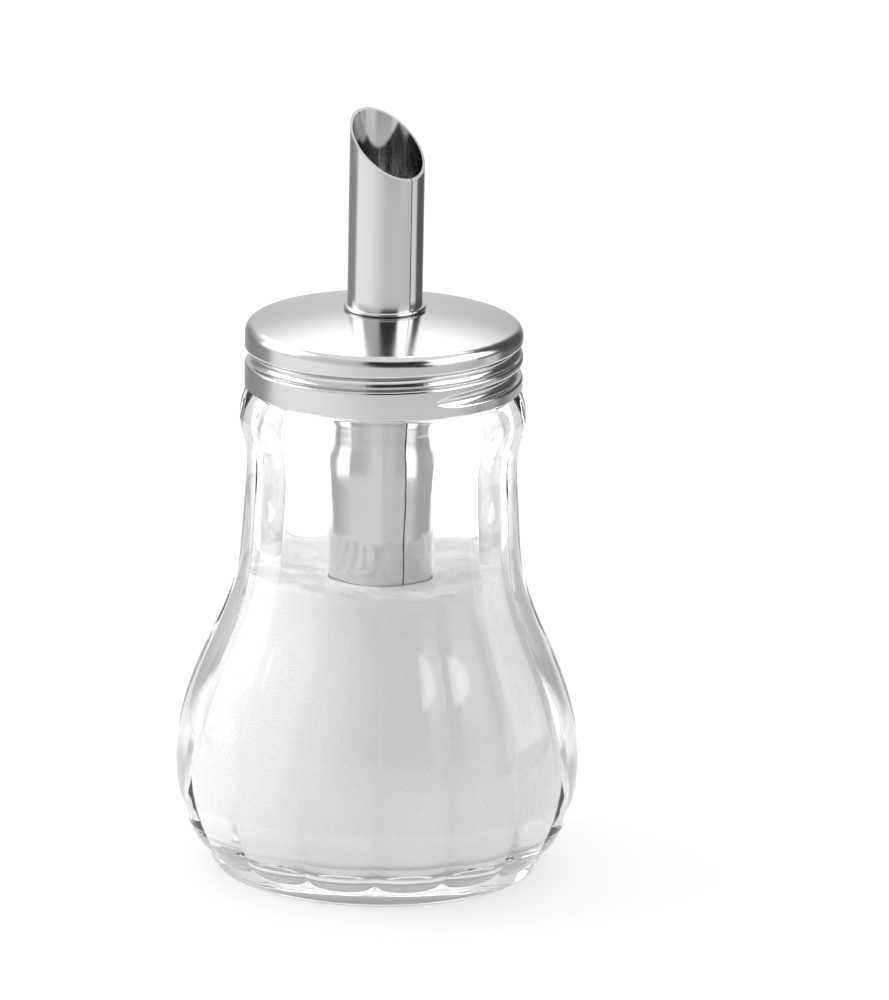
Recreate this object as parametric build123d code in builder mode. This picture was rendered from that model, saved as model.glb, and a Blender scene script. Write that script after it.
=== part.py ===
from build123d import *

import os
from math import cos, pi, radians, sin, sqrt, tan

os.makedirs("parts", exist_ok=True)

# Sugar pourer: a lobed glass jar closed by a domed steel screw cap. A steel tube runs from the bottom
# of the jar through the cap to a slanted mouth, and a small gravity flap inside the tube closes it.
# Millimetres, +Z up, origin at the centre of the base, pouring lip towards +X.

# Clearances
moving_gap = 0.3  # between curved faces of pieces that move past each other
pin_clearance = 0.05  # radial, between the hinge pin and the flap's knuckle
press_gap = 0.02  # radial, where a piece is pushed into or onto another

# Glass jar: its outline runs along the crests of its upright lobes
belly_radius = 40.8
belly_height = 21.5
heel_inset = 3.5  # how much smaller than the belly the heel is
heel_height = 7.2
slope_inset = 5.0
slope_height = 42.0
throat_radius = 29.7
throat_height = 57.5
neck_radius = 27.55
neck_height = 77.0
nape_inset = 1.05  # how much smaller than the shoulder the nape under it is
nape_drop = 4.8  # below the shoulder
shoulder_width = 3.6  # how far the shoulder stands out past the threaded neck
shoulder_drop = 5.55  # below the ledge that the cap closes on
brow_inset = 0.6  # how much smaller than the shoulder the brow above it is
brow_drop = 2.4  # below the ledge
jar_wall = 3.2
shoulder_wall = 3.9
floor_thickness = 5.5
floor_corner = 6.0
hollow_depth = 1.2
hollow_radius = 27.0

# Foot ring of the jar, which the lobes run down into
foot_inset = 8.0
foot_height = 4.4
foot_flare = 1.8  # how much wider the foot is where its crown begins than on the table
foot_crown_width = 2.0
foot_crown_height = 3.8
root_inset = 10.2  # of the lobes' crests where they start, inside the foot
root_height = 2.0

# Lobes of the jar: each is an arc across, and a small hollow arc lies in the valley between two of them
lobe_count = 16
lobe_share = 0.5  # radius of a lobe's arc over the jar's radius at its crest
root_share = 0.32  # the same where the lobes start
heel_share = 0.4
valley_rounding = 0.6
lobe_turn = 3.5  # degrees from the pouring lip to the nearest valley

# Threaded neck of the jar
finish_radius = 25.2
finish_wall = 2.8
finish_taper = 2.0  # from the ledge up to where the bore of the neck runs straight
rim_rounding = 0.9
ledge_width = 1.9
ledge_drop = 0.5  # from the cap's lower edge down to the ledge that it closes on
thread_pitch = 25.4 / 6
thread_depth = 1.0
thread_form_radius = 1.05

# Screw cap, pressed from steel sheet
cap_radius = 27.7
cap_sheet = 0.4
cap_edge_height = 98.85
cap_rise = 15.9
dome_radius = 106.0
cap_edge_rounding = 2.0
cap_hem = 1.1
groove_depth = 1.65
groove_form_radius = 1.35
groove_rounding = 0.5
groove_height = 7.49  # of the groove's centre above the cap's lower edge, on the lip's side
groove_start = -382.0
groove_end = 68.0
groove_fade = 45.0
thread_start = -410.0
thread_end = -15.0
thread_fade = 35.0
fade_margin = 0.2  # how far past the wall a thread's end sinks, so that it runs out cleanly

# Seal ring between the glass rim and the cap
seal_width = 3.6
seal_thickness = 1.6

# Pouring tube, rolled from steel sheet with an open butt seam
tube_radius = 7.5
tube_wall = 0.5
tube_floor_gap = 8.0
spout_length = 27.15  # from the top of the dome to the pouring lip
mouth_angle = 38.8
seam_width = 0.22
bead_height = 0.9
bead_rise = 0.75

# Push-on ring that holds the tube under the cap
retainer_width = 3.0
retainer_thickness = 0.8

# Flap and its seat inside the tube
flap_drop = 9.0  # from the pouring lip down to the seat
seat_height = 4.6
seat_bore_radius = 5.2
flap_radius = 5.9
flap_thickness = 0.6
pin_radius = 0.5
pin_length = 6.2
pin_inset = 5.6
knuckle_radius = 0.95
knuckle_length = 2.6
lug_thickness = 1.0
lug_clearance = 0.2  # on each side of the knuckle, along the pin
pin_end_rounding = 0.15

# Sugar in the jar
sugar_height = 59.5
sugar_heap = 0.8
sugar_gap = 0.1

# Places that follow from the sizes above
foot_radius = belly_radius - foot_inset
foot_top_radius = foot_radius + foot_flare
root_radius = belly_radius - root_inset
heel_radius = belly_radius - heel_inset
slope_radius = belly_radius - slope_inset
shoulder_radius = finish_radius + shoulder_width
nape_radius = shoulder_radius - nape_inset
ledge_height = cap_edge_height - ledge_drop
shoulder_height = ledge_height - shoulder_drop
nape_height = shoulder_height - nape_drop
tube_bore_radius = tube_radius - tube_wall
tube_end_height = floor_thickness + tube_floor_gap
dome_centre = cap_edge_height + cap_rise - dome_radius
rim_inner_radius = finish_radius - finish_wall
lip_height = cap_edge_height + cap_rise + spout_length
seal_radius = finish_radius
lobe_pitch = 360 / lobe_count


def dome_height(radius, inset):
    """Height of the cap's dome at a radius, on the sphere that lies a given depth under its outside."""
    return dome_centre + sqrt((dome_radius - inset) ** 2 - radius**2)


rim_height = dome_height(seal_radius, cap_sheet) - moving_gap - seal_thickness
seat_top = lip_height - flap_drop
pin_height = seat_top + knuckle_radius + moving_gap

outline = [
    (heel_radius, heel_height),
    (belly_radius, belly_height),
    (slope_radius, slope_height),
    (throat_radius, throat_height),
    (neck_radius, neck_height),
    (nape_radius, nape_height),
]
shoulder_line = [
    (shoulder_radius, shoulder_height),
    (shoulder_radius - brow_inset, ledge_height - brow_drop),
    (finish_radius + ledge_width, ledge_height),
]


def helix_point(angle, radius, height):
    """Point of the thread's helix at an angle in degrees, whose height at angle zero is given."""
    lift = thread_pitch * angle / 360
    return (radius * cos(radians(angle)), radius * sin(radians(angle)), height + lift)


def helix_points(start, end, radius, height, fade, fade_depth):
    """Points along the helix, whose last stretch at each end sinks by fade_depth in radius."""
    steps = 36
    points = []
    for i in range(steps + 1):
        angle = start + (end - start) * i / steps
        to_end = min(angle - start, end - angle)
        share = max(0.0, 1 - to_end / fade)
        points.append(helix_point(angle, radius + fade_depth * share**2, height))
    return points


def polar(radius, angle):
    """Point at a radius and at an angle in radians."""
    return (radius * cos(angle), radius * sin(angle))


def lobed_section(crest, height, share):
    """Section of the lobed jar at a height, whose lobes reach the crest radius."""
    half_pitch = radians(lobe_pitch / 2)
    lobe_radius = crest * share
    centre = crest - lobe_radius
    across = centre * sin(half_pitch)
    along = sqrt((lobe_radius + valley_rounding) ** 2 - across**2)
    valley_radius = centre * cos(half_pitch) + along - valley_rounding
    to_lobe = valley_rounding / (lobe_radius + valley_rounding)
    end = Vector(centre * cos(half_pitch) + along * (1 - to_lobe), across * to_lobe)
    half_valley = radians(end.get_angle(Vector(1, 0)))
    with BuildSketch(Plane.XY.offset(height)) as section:
        with BuildLine():
            for i in range(lobe_count):
                valley = radians(lobe_turn + i * lobe_pitch)
                crest_angle = valley + half_pitch
                after = valley + 2 * half_pitch
                ThreePointArc(
                    polar(end.length, valley - half_valley),
                    polar(valley_radius, valley),
                    polar(end.length, valley + half_valley),
                )
                ThreePointArc(
                    polar(end.length, valley + half_valley),
                    polar(crest, crest_angle),
                    polar(end.length, after - half_valley),
                )
        make_face()
    return section.sketch


# Glass jar
sections = [
    lobed_section(root_radius, root_height, root_share),
    lobed_section(*outline[0], heel_share),
    *[lobed_section(crest, height, lobe_share) for crest, height in outline[1:] + shoulder_line],
]
with BuildPart() as lobed_body:
    loft(sections=[section.face() for section in sections])

with BuildPart() as jar_thread:
    path_radius = finish_radius + thread_depth - thread_form_radius
    path_height = cap_edge_height + groove_height + thread_pitch / 2
    with BuildLine() as thread_path:
        fade_depth = -thread_depth - fade_margin
        Spline(*helix_points(thread_start, thread_end, path_radius, path_height, thread_fade, fade_depth))
    with BuildSketch(Plane(thread_path.line @ 0, z_dir=thread_path.line % 0)):
        Circle(thread_form_radius)
    sweep(path=thread_path.line)


def jar_inside(gap, top):
    """Solid that fills the jar's hollow up to a height, a given gap clear of the glass."""
    floor_edge = (heel_radius - jar_wall - gap, floor_thickness + gap)
    neck_edge = (rim_inner_radius - gap, ledge_height + finish_taper)
    with BuildPart() as inside:
        with BuildSketch(Plane.XZ):
            with BuildLine():
                Polyline((0, top), (0, floor_thickness + gap), floor_edge)
                Spline(
                    floor_edge,
                    *[(radius - jar_wall - gap, height) for radius, height in outline[1:]],
                    (shoulder_radius - shoulder_wall - gap, shoulder_height),
                    neck_edge,
                    tangents=[(1, 1), (0, 1)],
                )
                Polyline(neck_edge, (rim_inner_radius - gap, top), (0, top))
            make_face()
        revolve(axis=Axis.Z)
        fillet(inside.edges().filter_by(GeomType.CIRCLE).group_by(Axis.Z)[0], radius=floor_corner)
    return inside.part


jar_hollow = jar_inside(0, rim_height)
sugar_room = jar_inside(sugar_gap, rim_height)

with BuildPart() as glass_jar:
    with BuildSketch(Plane.XZ):
        with BuildLine():
            Polyline((0, 0), (foot_radius, 0), (foot_top_radius, foot_height))
            crown = EllipticalCenterArc(
                (foot_top_radius - foot_crown_width, foot_height),
                foot_crown_width,
                foot_crown_height,
                start_angle=0,
                arc_size=90,
            )
            Polyline(crown @ 1, (0, foot_height + foot_crown_height), (0, 0))
        make_face()
        with Locations((0, shoulder_height)):
            Rectangle(finish_radius, rim_height - shoulder_height, align=Align.MIN)
    revolve(axis=Axis.Z)
    add(lobed_body.part)
    add(jar_thread.part)
    add(jar_hollow, mode=Mode.SUBTRACT)
    fillet(glass_jar.edges().filter_by(GeomType.CIRCLE).group_by(Axis.Z)[-1], radius=rim_rounding)
    punt_radius = (hollow_radius**2 + hollow_depth**2) / (2 * hollow_depth)
    with Locations((0, 0, hollow_depth - punt_radius)):
        Sphere(punt_radius, mode=Mode.SUBTRACT)
glass_jar.part.label = "glass_jar"
export_step(glass_jar.part, "parts/glass_jar.step")

# Sugar: it fills the jar and, up to the same level, the tube that stands in it
with BuildPart() as sugar_fill:
    add(sugar_room)
    with BuildSketch(Plane.XZ):
        with BuildLine():
            Polyline(
                (0, sugar_height - sugar_heap),
                (belly_radius, sugar_height + sugar_heap),
                (belly_radius, rim_height),
                (0, rim_height),
                close=True,
            )
        make_face()
    revolve(axis=Axis.Z, mode=Mode.SUBTRACT)
    with BuildSketch(Plane.XY.offset(tube_end_height - moving_gap)):
        Circle(tube_radius + moving_gap)
        Circle(tube_bore_radius - moving_gap, mode=Mode.SUBTRACT)
    extrude(amount=sugar_height, mode=Mode.SUBTRACT)
sugar_fill.part.label = "sugar_fill"
export_step(sugar_fill.part, "parts/sugar_fill.step")

# Screw cap: one shell of sheet, with its thread rolled in from outside
with BuildPart() as cap_groove:
    path_radius = cap_radius - groove_depth + groove_form_radius
    path_height = cap_edge_height + groove_height
    with BuildLine() as groove_path:
        fade_depth = groove_depth + fade_margin
        Spline(*helix_points(groove_start, groove_end, path_radius, path_height, groove_fade, fade_depth))
    with BuildSketch(Plane(groove_path.line @ 0, z_dir=groove_path.line % 0)):
        Circle(groove_form_radius)
    sweep(path=groove_path.line)

with BuildPart() as cap_ridge:
    with BuildSketch(Plane(groove_path.line @ 0, z_dir=groove_path.line % 0)):
        Circle(groove_form_radius + cap_sheet)
    sweep(path=groove_path.line)
    with BuildSketch(Plane.XY.offset(cap_edge_height)):
        Circle(cap_radius - cap_sheet / 2)
    extrude(amount=cap_rise, mode=Mode.INTERSECT)


def cap_half(inset):
    """Half section of the solid that lies a given depth under the cap's outside."""
    wall_radius = cap_radius - inset
    wall_top = (wall_radius, dome_height(wall_radius, inset))
    with BuildSketch(Plane.XZ) as half:
        with BuildLine():
            ThreePointArc(
                (0, dome_height(0, inset)),
                (wall_radius / 2, dome_height(wall_radius / 2, inset)),
                wall_top,
            )
            Polyline(
                wall_top,
                (wall_radius, cap_edge_height),
                (0, cap_edge_height),
                (0, dome_height(0, inset)),
            )
        make_face()
        top_corner = half.vertices().sort_by(Axis.X)[-2:].sort_by(Axis.Y)[-1]
        fillet(top_corner, radius=cap_edge_rounding - inset)
    return half.sketch


cap_outside = cap_half(0)
cap_inside = cap_half(cap_sheet)

with BuildPart() as screw_cap:
    with BuildSketch(Plane.XZ):
        add(cap_outside)
        add(cap_inside, mode=Mode.SUBTRACT)
    revolve(axis=Axis.Z)
    with BuildSketch(Plane.XZ):
        with Locations((cap_radius - cap_hem / 2, cap_edge_height + cap_hem / 2)):
            Circle(cap_hem / 2)
    revolve(axis=Axis.Z)
    add(cap_ridge.part)
    add(cap_groove.part, mode=Mode.SUBTRACT)
    fillet(screw_cap.edges(Select.LAST).filter_by(GeomType.BSPLINE), radius=groove_rounding)
    with BuildSketch(Plane.XY.offset(cap_edge_height)):
        Circle(tube_radius + press_gap)
    extrude(amount=2 * cap_rise, mode=Mode.SUBTRACT)
screw_cap.part.label = "screw_cap"
export_step(screw_cap.part, "parts/screw_cap.step")

# Seal ring, resting on the glass rim and shaped to the dome above it
with BuildPart() as cap_seal:
    inner = seal_radius - seal_width
    with BuildSketch(Plane.XZ):
        with BuildLine():
            Polyline(
                (inner, dome_height(inner, cap_sheet) - moving_gap),
                (inner, rim_height),
                (seal_radius, rim_height),
                (seal_radius, rim_height + seal_thickness),
                close=True,
            )
        make_face()
    revolve(axis=Axis.Z)
cap_seal.part.label = "cap_seal"
export_step(cap_seal.part, "parts/cap_seal.step")

# Pouring tube
bead_base = dome_height(tube_radius, 0) + press_gap
mouth_turn = radians(mouth_angle)
mouth_plane = Plane((tube_radius, 0, lip_height), z_dir=(sin(mouth_turn), 0, cos(mouth_turn)))
with BuildPart() as dosing_tube:
    with BuildSketch(Plane.XY.offset(tube_end_height)):
        Circle(tube_radius)
    extrude(amount=lip_height + 2 * tube_radius * tan(mouth_turn) - tube_end_height)
    with BuildSketch(Plane.XZ):
        with Locations((tube_radius, bead_base + bead_height / 2)):
            Ellipse(bead_rise, bead_height / 2)
    revolve(axis=Axis.Z)
    with BuildSketch(Plane.XY.offset(tube_end_height)):
        Circle(tube_bore_radius)
    extrude(amount=2 * lip_height, mode=Mode.SUBTRACT)
    with BuildSketch(Plane.XY.offset(tube_end_height)):
        with Locations((tube_radius, 0)):
            Rectangle(tube_radius, seam_width)
    extrude(amount=2 * lip_height, mode=Mode.SUBTRACT)
    split(bisect_by=mouth_plane, keep=Keep.BOTTOM)
dosing_tube.part.label = "dosing_tube"
export_step(dosing_tube.part, "parts/dosing_tube.step")

# Push-on ring that clamps the cap's sheet between itself and the tube's bead
with BuildPart() as tube_retainer:
    inner = tube_radius + press_gap
    outer = inner + retainer_width
    seat = dome_height(outer, cap_sheet) - press_gap
    with BuildSketch(Plane.XY.offset(seat)):
        Circle(outer)
        Circle(inner, mode=Mode.SUBTRACT)
    extrude(amount=-retainer_thickness)
tube_retainer.part.label = "tube_retainer"
export_step(tube_retainer.part, "parts/tube_retainer.step")

# Flap seat: a sleeve pushed into the tube, with two lugs for the hinge pin opposite the lip
sleeve_radius = tube_bore_radius - press_gap
lug_inside = knuckle_length / 2 + lug_clearance
lug_top = pin_height + knuckle_radius
with BuildPart() as seat_lugs:
    with BuildSketch(Plane.XZ):
        with BuildLine():
            lug_front = -pin_inset + knuckle_radius
            Polyline((lug_front, pin_height), (lug_front, seat_top), (-tube_radius, seat_top))
            Polyline((-tube_radius, seat_top), (-tube_radius, lug_top), (-pin_inset, lug_top))
            ThreePointArc(
                (-pin_inset, lug_top),
                (-pin_inset + knuckle_radius * cos(pi / 4), pin_height + knuckle_radius * sin(pi / 4)),
                (lug_front, pin_height),
            )
        make_face()
    extrude(amount=lug_inside + lug_thickness, both=True)
    with BuildSketch(Plane.XZ):
        with Locations((-tube_radius, seat_top)):
            Rectangle(2 * tube_radius, 2 * tube_radius, align=(Align.CENTER, Align.MIN))
    extrude(amount=lug_inside, both=True, mode=Mode.SUBTRACT)
    with BuildSketch(Plane.XY.offset(seat_top)):
        Circle(sleeve_radius)
    extrude(amount=lug_top - seat_top, mode=Mode.INTERSECT)

with BuildPart() as flap_seat:
    with BuildSketch(Plane.XY.offset(seat_top)):
        Circle(sleeve_radius)
        Circle(seat_bore_radius, mode=Mode.SUBTRACT)
    extrude(amount=-seat_height)
    add(seat_lugs.part)
    with BuildSketch(Plane.XZ):
        with Locations((-pin_inset, pin_height)):
            Circle(pin_radius + press_gap)
    extrude(amount=tube_radius, both=True, mode=Mode.SUBTRACT)
flap_seat.part.label = "flap_seat"
export_step(flap_seat.part, "parts/flap_seat.step")

# Hinge pin
with BuildPart() as hinge_pin:
    with BuildSketch(Plane.XZ):
        with Locations((-pin_inset, pin_height)):
            Circle(pin_radius)
    extrude(amount=pin_length / 2, both=True)
    fillet(hinge_pin.edges().filter_by(GeomType.CIRCLE), radius=pin_end_rounding)
hinge_pin.part.label = "hinge_pin"
export_step(hinge_pin.part, "parts/hinge_pin.step")

# Flap: a disc that lies on the seat, notched for the lugs, with its tongue rolled over the pin
with BuildPart() as flap:
    notch_depth = knuckle_radius + moving_gap
    notch_width = 2 * (lug_inside + lug_thickness + moving_gap)
    with BuildSketch(Plane.XY.offset(seat_top)):
        Circle(flap_radius)
        with Locations((-pin_inset, 0)):
            Rectangle(tube_radius, 2 * tube_radius, align=(Align.MAX, Align.CENTER), mode=Mode.SUBTRACT)
            Rectangle(notch_depth, notch_width, align=(Align.MIN, Align.CENTER), mode=Mode.SUBTRACT)
            Rectangle(2 * notch_depth, knuckle_length, align=(Align.MIN, Align.CENTER))
    extrude(amount=flap_thickness)
    with BuildSketch(Plane.XZ):
        with BuildLine():
            Polyline(
                (-pin_inset, seat_top),
                (-pin_inset + knuckle_radius, seat_top),
                (-pin_inset + knuckle_radius, pin_height),
                (-pin_inset - knuckle_radius, pin_height),
                close=True,
            )
        make_face()
        with Locations((-pin_inset, pin_height)):
            Circle(knuckle_radius)
    extrude(amount=knuckle_length / 2, both=True)
    with BuildSketch(Plane.XZ):
        with Locations((-pin_inset, pin_height)):
            Circle(pin_radius + pin_clearance)
    extrude(amount=knuckle_length, both=True, mode=Mode.SUBTRACT)
flap.part.label = "flap"
export_step(flap.part, "parts/flap.step")
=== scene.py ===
"""Sugar pourer: a lobed glass jar of sugar, closed by a domed steel screw cap with a pouring tube.

Sizes in the classes are millimetres, and a mesh is scaled to metres as it is made. +Z is up, the origin is the
centre of the base, and the pouring lip faces +X. Each new piece is a surface worked out on a grid of two
parameters, and the pieces whose own shape is right keep it and get a finish here.
"""

import logging
import math
from dataclasses import dataclass, field
from enum import Enum

import bpy
import numpy as np
from mathutils import Matrix, Vector


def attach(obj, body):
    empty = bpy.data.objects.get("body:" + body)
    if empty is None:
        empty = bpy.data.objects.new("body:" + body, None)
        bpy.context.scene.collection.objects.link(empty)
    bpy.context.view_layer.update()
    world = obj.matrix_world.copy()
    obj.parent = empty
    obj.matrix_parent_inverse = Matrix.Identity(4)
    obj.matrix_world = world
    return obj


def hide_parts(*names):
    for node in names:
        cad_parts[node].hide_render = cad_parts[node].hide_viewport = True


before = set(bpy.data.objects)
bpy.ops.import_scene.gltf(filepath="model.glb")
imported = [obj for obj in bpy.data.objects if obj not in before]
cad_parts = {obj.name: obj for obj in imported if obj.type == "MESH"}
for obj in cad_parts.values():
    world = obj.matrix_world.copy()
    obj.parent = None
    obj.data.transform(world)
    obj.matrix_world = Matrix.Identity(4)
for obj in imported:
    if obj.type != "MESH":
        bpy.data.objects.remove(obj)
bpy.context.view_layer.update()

log = logging.getLogger("sugar_pourer")

MM = 0.001
TURN = 2 * math.pi
HAIRLINE = 0.0001  # metres, depth of the finest relief on metal, rubber and floor
WHITE = (1.0, 1.0, 1.0, 1.0)
Colour = tuple[float, float, float]
Pair = tuple[float, float]
Stops = tuple[Pair, ...]


class Body(str, Enum):
    """The four bodies of the object; here only the jar's glass and sugar are attached to one."""

    JAR = "jar"
    SEAL = "seal"
    CAP = "cap"
    FLAP = "flap"


class Slot(str, Enum):
    """Names of two material slots, for the glass and the sugar; nothing in this script uses them."""

    GLASS = "glass"
    SUGAR = "sugar"


# Curves and surfaces


def smooth_step(share: np.ndarray) -> np.ndarray:
    """S-shaped rise from 0 to 1: three times the square less twice the cube, level at both ends.

    Args:
        share: Any numbers; below 0 counts as 0 and above 1 as 1.

    Returns:
        The risen shares, as an array of the same shape.
    """
    t = np.clip(share, 0.0, 1.0)
    return t * t * (3 - 2 * t)


def spline(points: list[Pair], start: Pair, end: Pair, count: int) -> np.ndarray:
    """Smooth curve through points, a cubic between each two, with slope and bend running on over each point.

    Args:
        points: The points that the curve passes through.
        start: Direction in which it leaves the first point.
        end: Direction in which it reaches the last one.
        count: How many points of the curve to give, evenly spread over the chords.

    Returns:
        The curve's points, one in each row.
    """
    p = np.array(points, float)
    step = np.linalg.norm(np.diff(p, axis=0), axis=1)
    slope = np.diff(p, axis=0) / step[:, None]
    size = len(p)
    system, right = np.eye(size), np.zeros((size, 2))
    right[0] = np.array(start, float) / np.linalg.norm(start)
    right[-1] = np.array(end, float) / np.linalg.norm(end)
    inner = np.arange(1, size - 1)
    system[inner, inner - 1] = step[1:]
    system[inner, inner] = 2 * (step[:-1] + step[1:])
    system[inner, inner + 1] = step[:-1]
    right[1:-1] = 3 * (step[1:, None] * slope[:-1] + step[:-1, None] * slope[1:])
    tangent = np.linalg.solve(system, right)
    knots = np.concatenate([[0], np.cumsum(step)])
    at = np.linspace(0, knots[-1], count)
    i = np.clip(np.searchsorted(knots, at, side="right") - 1, 0, size - 2)
    h = step[i][:, None]
    t = ((at - knots[i]) / step[i])[:, None]
    return (
        (1 + 2 * t) * (1 - t) ** 2 * p[i]
        + t * (1 - t) ** 2 * h * tangent[i]
        + t**2 * (3 - 2 * t) * p[i + 1]
        + t**2 * (t - 1) * h * tangent[i + 1]
    )


def arc(centre: Pair, radii: Pair, start: float, end: float, count: int) -> np.ndarray:
    """Points of an ellipse's arc: the centre plus the two radii times cosine and sine of the angle.

    Args:
        centre: Centre of the ellipse.
        radii: Its radius across and its radius up.
        start: First angle in degrees, from the direction across.
        end: Last angle in degrees.
        count: How many points.

    Returns:
        The points, one in each row.
    """
    angle = np.radians(np.linspace(start, end, count))
    return np.stack([centre[0] + radii[0] * np.cos(angle), centre[1] + radii[1] * np.sin(angle)], axis=1)


def line(start: Pair, end: Pair, count: int) -> np.ndarray:
    """Evenly spaced points of a straight line, both ends among them.

    Args:
        start: First point.
        end: Last point.
        count: How many points.

    Returns:
        The points, one in each row.
    """
    return np.linspace(np.array(start, float), np.array(end, float), count)


def joined(*runs: np.ndarray) -> np.ndarray:
    """One run of points out of several, without the points that two runs share."""
    points = np.concatenate(runs)
    keep = np.concatenate([[True], np.linalg.norm(np.diff(points, axis=0), axis=1) > 1e-6])
    return points[keep]


def placed(name: str, data: bpy.types.ID) -> bpy.types.Object:
    """New object that holds a mesh, a lamp or a camera, linked into the scene."""
    made = bpy.data.objects.new(name, data)
    bpy.context.scene.collection.objects.link(made)
    return made


def turned_mesh(name: str, radius: np.ndarray, height: np.ndarray, angle: np.ndarray) -> bpy.types.Object:
    """Closed skin round the upright axis, whose first and last rows shrink to one point each.

    A point lies at radius times the cosine and sine of its angle, and at its own height.

    Args:
        name: Name of the new object.
        radius: Distance from the axis in millimetres, rows by columns.
        height: Height in millimetres, rows by columns.
        angle: Angle in radians of each column.

    Returns:
        The new object, smooth shaded, in the scene.
    """
    rows, columns = radius.shape
    ring = np.stack([radius * np.cos(angle), radius * np.sin(angle), height], axis=2)[1:-1] * MM
    poles = np.array([[0, 0, height[0].mean()], [0, 0, height[-1].mean()]]) * MM
    points = np.concatenate([poles, ring.reshape(-1, 3)])
    place = 2 + np.arange((rows - 2) * columns).reshape(rows - 2, columns)
    after = np.roll(place, -1, axis=1)
    quads = np.stack([place[:-1], after[:-1], after[1:], place[1:]], axis=2).reshape(-1, 4)
    first = np.stack([np.zeros(columns, int), after[0], place[0]], axis=1)
    last = np.stack([np.ones(columns, int), place[-1], after[-1]], axis=1)
    mesh = bpy.data.meshes.new(name)
    mesh.from_pydata(points.tolist(), [], quads.tolist() + first.tolist() + last.tolist())
    mesh.polygons.foreach_set("use_smooth", np.ones(len(mesh.polygons), bool))
    mesh.update()
    return placed(name, mesh)


# Materials


@dataclass
class Nodes:
    """A node tree, with short ways to add and join its nodes."""

    tree: bpy.types.NodeTree

    def add(self, kind: str, **values: object) -> bpy.types.Node:
        """Adds a node and sets its properties or, where a name is one of its sockets, that socket.

        Args:
            kind: Blender's name of the node, without the leading ShaderNode.
            **values: Properties and sockets, with _ for a space in a socket's name.

        Returns:
            The new node.
        """
        node = self.tree.nodes.new("ShaderNode" + kind)
        for name, value in values.items():
            socket = node.inputs.get(name.replace("_", " "))
            if hasattr(node, name) and socket is None:
                setattr(node, name, value)
            elif isinstance(value, bpy.types.NodeSocket):
                self.tree.links.new(value, socket)
            else:
                socket.default_value = value
        return node

    def join(self, source: bpy.types.NodeSocket, target: bpy.types.NodeSocket) -> None:
        """Links one socket to another."""
        self.tree.links.new(source, target)

    def maths(self, operation: str, *values: object) -> bpy.types.NodeSocket:
        """Result of a Math node.

        Args:
            operation: Blender's name of the operation.
            *values: Numbers or sockets, in order.

        Returns:
            The node's output.
        """
        node = self.add("Math", operation=operation)
        for socket, value in zip(node.inputs, values):
            if isinstance(value, bpy.types.NodeSocket):
                self.tree.links.new(value, socket)
            else:
                socket.default_value = value
        return node.outputs[0]


class Effects:
    """Node groups that more than one material uses, each built once."""

    def __init__(self) -> None:
        """Builds the groups."""
        self.wear = self._wear()
        self.ripple = self._ripple()

    @staticmethod
    def _group(
        name: str, inputs: dict[str, float], outputs: tuple[str, ...]
    ) -> tuple[Nodes, bpy.types.Node, bpy.types.Node]:
        """Empty node group with named float inputs and outputs.

        Args:
            name: Name of the group.
            inputs: Name and first value of each input.
            outputs: Names of the outputs.

        Returns:
            The group's nodes, its input node and its output node.
        """
        tree = bpy.data.node_groups.new(name, "ShaderNodeTree")
        for label, value in inputs.items():
            socket = tree.interface.new_socket(label, in_out="INPUT", socket_type="NodeSocketFloat")
            socket.default_value = value
        for label in outputs:
            tree.interface.new_socket(label, in_out="OUTPUT", socket_type="NodeSocketFloat")
        nodes = Nodes(tree)
        return nodes, tree.nodes.new("NodeGroupInput"), tree.nodes.new("NodeGroupOutput")

    def _wear(self) -> bpy.types.NodeTree:
        """Hairlines and handling marks: stretched fine noise for the lines, and broad soft noise for the marks."""
        nodes, inside, out = self._group(
            "handling_wear", {"Line scale": 1.0, "Line stretch": 0.1, "Mark scale": 40.0}, ("Lines", "Marks")
        )
        place = nodes.add("TexCoord")
        stretch = nodes.add("CombineXYZ", X=1.0, Y=1.0)
        nodes.join(inside.outputs["Line stretch"], stretch.inputs["Z"])
        squeezed = nodes.add("VectorMath", operation="MULTIPLY")
        nodes.join(place.outputs["Object"], squeezed.inputs[0])
        nodes.join(stretch.outputs[0], squeezed.inputs[1])
        lines = nodes.add("TexNoise", Detail=3.0, Roughness=0.6)
        nodes.join(squeezed.outputs[0], lines.inputs["Vector"])
        nodes.join(inside.outputs["Line scale"], lines.inputs["Scale"])
        marks = nodes.add("TexNoise", Detail=4.0, Roughness=0.55)
        nodes.join(place.outputs["Object"], marks.inputs["Vector"])
        nodes.join(inside.outputs["Mark scale"], marks.inputs["Scale"])
        nodes.join(lines.outputs["Fac"], out.inputs["Lines"])
        nodes.join(marks.outputs["Fac"], out.inputs["Marks"])
        return nodes.tree

    def _ripple(self) -> bpy.types.NodeTree:
        """Slow swell of a moulded or heaped surface: soft noise in two sizes, the finer one at a third."""
        nodes, inside, out = self._group("soft_ripple", {"Scale": 60.0, "Fine scale": 300.0}, ("Height",))
        place = nodes.add("TexCoord")
        slow = nodes.add("TexNoise", Detail=1.0)
        fine = nodes.add("TexNoise", Detail=1.0)
        for noise, label in ((slow, "Scale"), (fine, "Fine scale")):
            nodes.join(place.outputs["Object"], noise.inputs["Vector"])
            nodes.join(inside.outputs[label], noise.inputs["Scale"])
        third = nodes.maths("DIVIDE", fine.outputs["Fac"], 3.0)
        nodes.join(nodes.maths("ADD", slow.outputs["Fac"], third), out.inputs["Height"])
        return nodes.tree


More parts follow.
